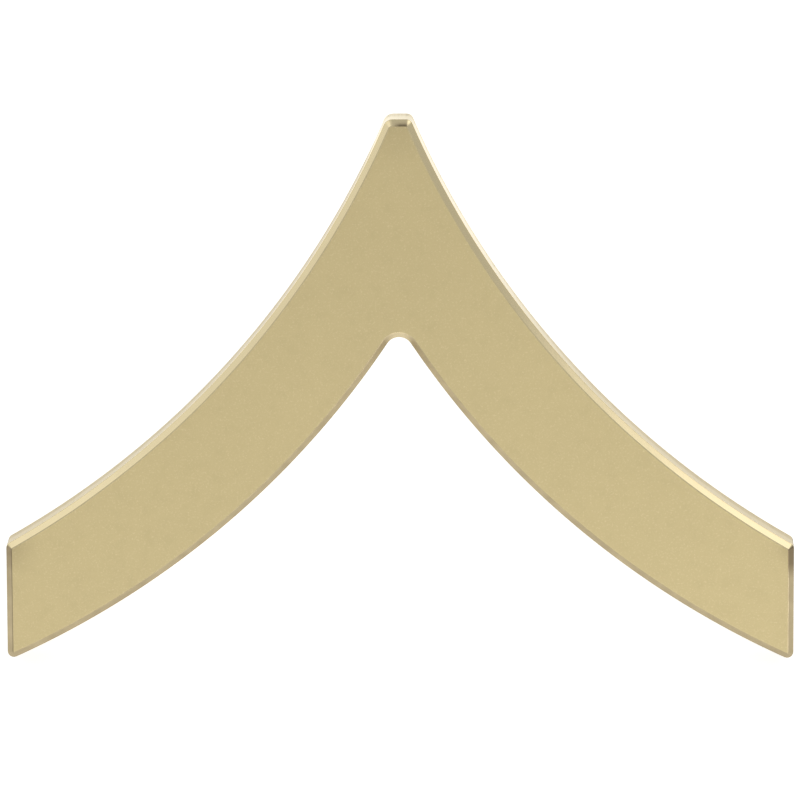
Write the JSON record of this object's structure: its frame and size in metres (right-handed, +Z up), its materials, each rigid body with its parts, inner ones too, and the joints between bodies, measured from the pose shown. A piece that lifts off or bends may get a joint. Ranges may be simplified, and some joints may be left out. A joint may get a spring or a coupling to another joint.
{
  "type": "single chevron rank insignia",
  "caption": "Gold-tone chevron rank badge for a collar: a V-shaped metal plate with hollow-curved arms, a bevelled face edge and plain clutch posts soldered to its back.",
  "frame": {"origin": "on the surface that the badge stands on, under the middle of its box", "axes": "+X runs across the badge from one arm end to the other, +Y points behind the badge, to the side of its posts, and +Z is up; the face looks to -Y and up, leaning back on the posts"},
  "size_m": [0.0254, 0.0112, 0.0152],
  "materials": {
    "gold": "gold-plated brass: the face fine satin, the bevel and the side walls polished, the back and posts plain"
  },
  "bodies": {
    "root": {"chevron": "gold"}
  },
  "joints": []
}
